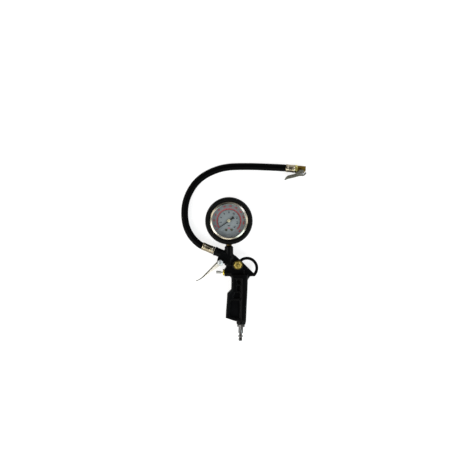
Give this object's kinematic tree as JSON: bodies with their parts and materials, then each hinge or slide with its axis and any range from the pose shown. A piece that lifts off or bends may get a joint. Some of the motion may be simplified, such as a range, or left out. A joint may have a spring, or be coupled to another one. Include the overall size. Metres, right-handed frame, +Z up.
{
  "type": "tyre inflator with gauge",
  "caption": "Pistol-grip tyre inflator with a dial pressure gauge in a rubber boot, squeeze lever, bleed button, short whip hose and clip-on lever chuck.",
  "frame": {"origin": "centre of the bounding box of the gun and gauge, without the hose and chuck, on the surface that the object lies on", "axes": "the object lies on its side: +Z up out of the dial, +Y from the inlet nipple to the gauge, +X from the lever towards the hang loop"},
  "size_m": [0.2074, 0.2937, 0.0367],
  "materials": {
    "black_coated_alloy": "satin black powder coat over die-cast alloy",
    "black_rubber": "moulded black rubber, soft sheen",
    "hose_rubber": "black rubber hose, slight sheen",
    "seal_rubber": "matte black seal rubber",
    "brass": "turned brass",
    "nickel_plate": "nickel-plated steel, slightly warm",
    "chrome": "polished chrome",
    "steel": "zinc-plated steel",
    "dark_steel": "dark nickel-plated steel",
    "clear_lens": "clear flat window",
    "dial_face": "matt off-white printed dial",
    "pointer_black": "matt black"
  },
  "bodies": {
    "gun": {"body_casting": "black_coated_alloy", "trigger_pivot_screw": "chrome", "trigger_pivot_nut": "steel", "trigger_spring": "steel", "valve_gland": "brass", "valve_packing": "seal_rubber", "valve_seat": "brass", "valve_spring": "steel", "bleed_valve_body": "brass", "bleed_spring": "steel", "inlet_washer": "seal_rubber", "inlet_nipple": "dark_steel", "gauge_boot": "black_rubber", "gauge_case": "black_coated_alloy", "gauge_bezel": "chrome", "gauge_lens": "clear_lens", "lens_gasket": "seal_rubber", "dial_plate": "dial_face", "dial_screw_1": "steel", "dial_screw_2": "steel", "stem_socket": "brass", "bourdon_tube": "brass", "movement_back_plate": "brass", "movement_front_plate": "brass", "movement_post_1": "brass", "movement_post_2": "brass", "movement_post_3": "brass", "hairspring": "brass", "hose_fitting": "nickel_plate", "hose_ferrule_body_end": "nickel_plate", "hose_ferrule_chuck_end": "nickel_plate", "hose": "hose_rubber", "chuck_nut": "brass", "chuck_body": "brass", "chuck_seal": "seal_rubber", "chuck_core_pin": "brass", "chuck_pivot_pin": "steel", "chuck_spring": "steel"},
    "trigger": {"trigger_lever": "nickel_plate"},
    "valve_stem": {"valve_pin": "chrome", "valve_poppet": "seal_rubber"},
    "bleed_plunger": {"bleed_button": "brass", "bleed_seal": "seal_rubber"},
    "pointer_arbor": {"pointer": "pointer_black", "pointer_hub": "brass", "pinion_arbor": "steel"},
    "sector": {"sector_gear": "brass"},
    "link": {"link_rod": "steel"},
    "chuck_clip": {"chuck_lever": "steel"}
  },
  "joints": [
    {"name": "trigger_squeeze", "type": "hinge", "parent": "gun", "child": "trigger", "pos_m": [-0.0111, 0.0106, 0.014], "axis": [0, 0, 1], "range_deg": [0, 42.5], "stiffness_Nm_per_rad": 0.04, "springref_deg": -20.05, "deforming": ["trigger_spring"]},
    {"name": "valve_stroke", "type": "slide", "parent": "gun", "child": "valve_stem", "axis": [1, 0, 0], "range_m": [0, 0.003], "deforming": ["valve_spring"]},
    {"name": "bleed_press", "type": "slide", "parent": "gun", "child": "bleed_plunger", "axis": [0, 0, -1], "range_m": [0, 0.0015], "stiffness_N_per_m": 150, "springref_m": -0.002, "deforming": ["bleed_spring"]},
    {"name": "pointer_turn", "type": "hinge", "parent": "gun", "child": "pointer_arbor", "pos_m": [0.0031, 0.0795, 0.028], "axis": [0, 0, -1], "range_deg": [0, 261], "stiffness_Nm_per_rad": 0.00002, "deforming": ["hairspring"]},
    {"name": "sector_turn", "type": "hinge", "parent": "gun", "child": "sector", "pos_m": [0.01885, 0.0795, 0.015], "axis": [0, 0, -1], "range_deg": [-32.7, 0]},
    {"name": "link_pull", "type": "slide", "parent": "gun", "child": "link", "axis": [0.9848, -0.1736, 0], "range_m": [0, 0.00393], "deforming": ["bourdon_tube"]},
    {"name": "clip_release", "type": "hinge", "parent": "gun", "child": "chuck_clip", "pos_m": [0.12335, 0.1572, 0.0074], "axis": [0, 0, -1], "range_deg": [0, 14], "stiffness_Nm_per_rad": 0.03, "springref_deg": -22.92, "deforming": ["chuck_spring"]}
  ],
  "couplings": [
    {"joint": "valve_stroke", "follows": "trigger_squeeze", "m_per_rad": 0.00404},
    {"joint": "sector_turn", "follows": "link_pull", "rad_per_m": -144.88},
    {"joint": "pointer_turn", "follows": "link_pull", "rad_per_m": 1159}
  ]
}
